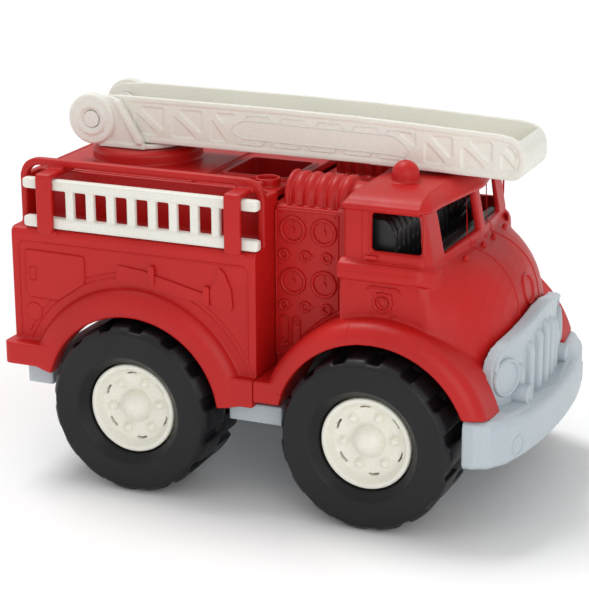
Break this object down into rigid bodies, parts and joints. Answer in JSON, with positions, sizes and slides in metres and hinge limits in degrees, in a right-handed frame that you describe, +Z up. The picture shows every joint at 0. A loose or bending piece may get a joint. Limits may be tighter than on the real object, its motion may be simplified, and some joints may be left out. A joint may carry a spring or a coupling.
{
  "type": "toy fire engine",
  "caption": "Moulded plastic toy fire engine with rolling wheels, a turning and lifting aerial ladder and two side ladders that slide out of their brackets",
  "frame": {"origin": "middle of the footprint, on the ground under the wheels", "axes": "+X forward towards the cab, +Y the truck's left side, +Z up"},
  "size_m": [0.265, 0.164, 0.184],
  "materials": {
    "red": "satin moulded red plastic",
    "ivory": "satin moulded off-white plastic",
    "grey": "satin moulded blue-grey plastic",
    "tyre": "satin black moulded plastic tyre",
    "black": "satin black plastic"
  },
  "bodies": {
    "truck_body": {"rear_body": "red", "deck": "red", "front_body": "red", "chassis": "grey", "grille_bumper": "grey", "cab_interior": "black", "steering_wheel": "black"},
    "front_wheels": {"front_axle": "black", "front_left_tyre": "tyre", "front_left_hubcap": "ivory", "front_right_tyre": "tyre", "front_right_hubcap": "ivory"},
    "rear_wheels": {"rear_axle": "black", "rear_left_tyre": "tyre", "rear_left_hubcap": "ivory", "rear_right_tyre": "tyre", "rear_right_hubcap": "ivory"},
    "turntable_body": {"turntable": "ivory", "turntable_retainer": "ivory", "pivot_pin_left": "ivory", "pivot_pin_right": "ivory"},
    "aerial_ladder_body": {"aerial_ladder": "ivory"},
    "right_ladder_body": {"side_ladder_right": "ivory"},
    "left_ladder_body": {"side_ladder_left": "ivory"}
  },
  "joints": [
    {"name": "front_wheels_spin", "type": "hinge", "parent": "truck_body", "child": "front_wheels", "pos_m": [0.06, 0, 0.0424], "axis": [0, 1, 0], "continuous": true},
    {"name": "rear_wheels_spin", "type": "hinge", "parent": "truck_body", "child": "rear_wheels", "pos_m": [-0.0618, 0, 0.0424], "axis": [0, 1, 0], "continuous": true},
    {"name": "turntable_spin", "type": "hinge", "parent": "truck_body", "child": "turntable_body", "pos_m": [-0.0896, 0, 0.15], "axis": [0, 0, 1], "continuous": true},
    {"name": "ladder_lift", "type": "hinge", "parent": "turntable_body", "child": "aerial_ladder_body", "pos_m": [-0.1095, 0, 0.1712], "axis": [0, -1, 0], "range_deg": [0, 80]},
    {"name": "right_ladder_slide", "type": "slide", "parent": "truck_body", "child": "right_ladder_body", "axis": [-1, 0, 0], "range_m": [0, 0.12]},
    {"name": "left_ladder_slide", "type": "slide", "parent": "truck_body", "child": "left_ladder_body", "axis": [-1, 0, 0], "range_m": [0, 0.12]}
  ]
}
